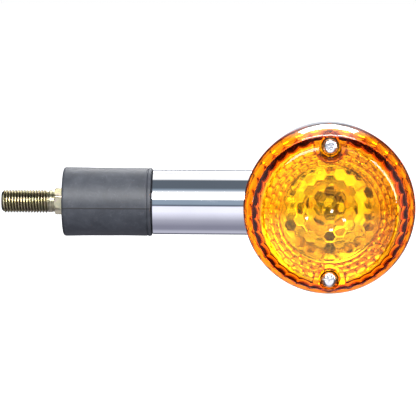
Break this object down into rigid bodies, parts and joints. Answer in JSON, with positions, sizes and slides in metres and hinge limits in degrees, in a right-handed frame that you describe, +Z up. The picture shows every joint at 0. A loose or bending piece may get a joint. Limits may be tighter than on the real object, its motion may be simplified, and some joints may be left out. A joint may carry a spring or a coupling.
{
  "type": "turn signal indicator",
  "caption": "Round amber motorcycle turn signal on a chrome stem, with a rubber damper and a hollow threaded mounting stud.",
  "frame": {"origin": "on the stud's axis, in the plane of its shoulder, which is the collar's outer face", "axes": "+X from the shoulder along the stem to the lamp head; the lens faces -Y; +Z up"},
  "size_m": [0.1757, 0.0688, 0.072],
  "materials": {
    "yellow_zinc": "yellow-chromate zinc plate on turned steel, half-bright, with olive and pink tints",
    "damper_rubber": "moulded blue-grey black rubber, matt with a soft sheen and faint dust",
    "seal_rubber": "soft black rubber",
    "chrome": "bright decorative chrome on steel",
    "screw_chrome": "bright zinc or chrome on a cross-head screw",
    "plated_steel": "bright zinc plate",
    "spring_steel": "bright spring steel",
    "reflector_aluminium": "polished reflector sheet",
    "socket_brass": "drawn brass",
    "tinned_brass": "tinned brass",
    "bulb_brass": "thin rolled brass",
    "insulator_board": "brown phenolic board",
    "black_glass": "black vitreous insulator",
    "solder": "soft solder",
    "clear_glass": "clear blown glass",
    "support_wire": "nickel wire",
    "tungsten": "drawn tungsten wire",
    "amber_plastic": "clear amber moulded acrylic, polished outside, fluted and pillowed inside"
  },
  "bodies": {
    "mount": {"mounting_stud": "yellow_zinc"},
    "damper": {"damper_rubber": "damper_rubber"},
    "head": {"damper_insert": "plated_steel", "stem_tube": "chrome", "stem_clip": "spring_steel", "housing_bowl": "chrome", "lens_post_upper": "plated_steel", "lens_post_lower": "plated_steel", "lens_gasket": "seal_rubber", "reflector": "reflector_aluminium", "socket_shell": "socket_brass", "socket_back": "insulator_board", "ground_tab": "tinned_brass", "contact_spring": "spring_steel"},
    "lens": {"lens": "amber_plastic", "screw_seal_upper": "seal_rubber", "screw_seal_lower": "seal_rubber"},
    "screw_upper": {"lens_screw_upper": "screw_chrome"},
    "screw_lower": {"lens_screw_lower": "screw_chrome"},
    "bulb": {"bulb_base": "bulb_brass", "bulb_insulator": "black_glass", "bulb_contact": "solder", "bulb_glass": "clear_glass", "bulb_mount": "clear_glass", "filament_post_left": "support_wire", "filament_post_right": "support_wire", "filament": "tungsten"},
    "contact": {"contact_disc": "insulator_board", "contact_pin": "socket_brass"}
  },
  "joints": [
    {"name": "damper_bend_fore_aft", "type": "hinge", "parent": "mount", "child": "damper", "pos_m": [0.01335, 0, 0], "axis": [0, 0, 1], "range_deg": [-20, 20], "stiffness_Nm_per_rad": 30, "deforming": ["damper_rubber"]},
    {"name": "damper_bend_up_down", "type": "hinge", "parent": "damper", "child": "head", "pos_m": [0.03225, 0, 0], "axis": [0, 1, 0], "range_deg": [-20, 20], "stiffness_Nm_per_rad": 30, "deforming": ["damper_rubber"]},
    {"name": "lens_lift_off", "type": "slide", "parent": "head", "child": "lens", "axis": [0, -1, 0], "range_m": [0, 0.04]},
    {"name": "screw_upper_turn", "type": "hinge", "parent": "lens", "child": "screw_upper", "pos_m": [0.117, -0.0331, 0.0276], "axis": [0, 1, 0], "continuous": true},
    {"name": "screw_lower_turn", "type": "hinge", "parent": "lens", "child": "screw_lower", "pos_m": [0.117, -0.0331, -0.0276], "axis": [0, 1, 0], "continuous": true},
    {"name": "bulb_push", "type": "slide", "parent": "head", "child": "bulb", "axis": [0, 1, 0], "range_m": [0, 0.002], "stiffness_N_per_m": 2000},
    {"name": "contact_push", "type": "slide", "parent": "head", "child": "contact", "axis": [0, 1, 0], "range_m": [0, 0.002], "deforming": ["contact_spring"]}
  ],
  "couplings": [
    {"joint": "contact_push", "follows": "bulb_push", "ratio": 1}
  ]
}
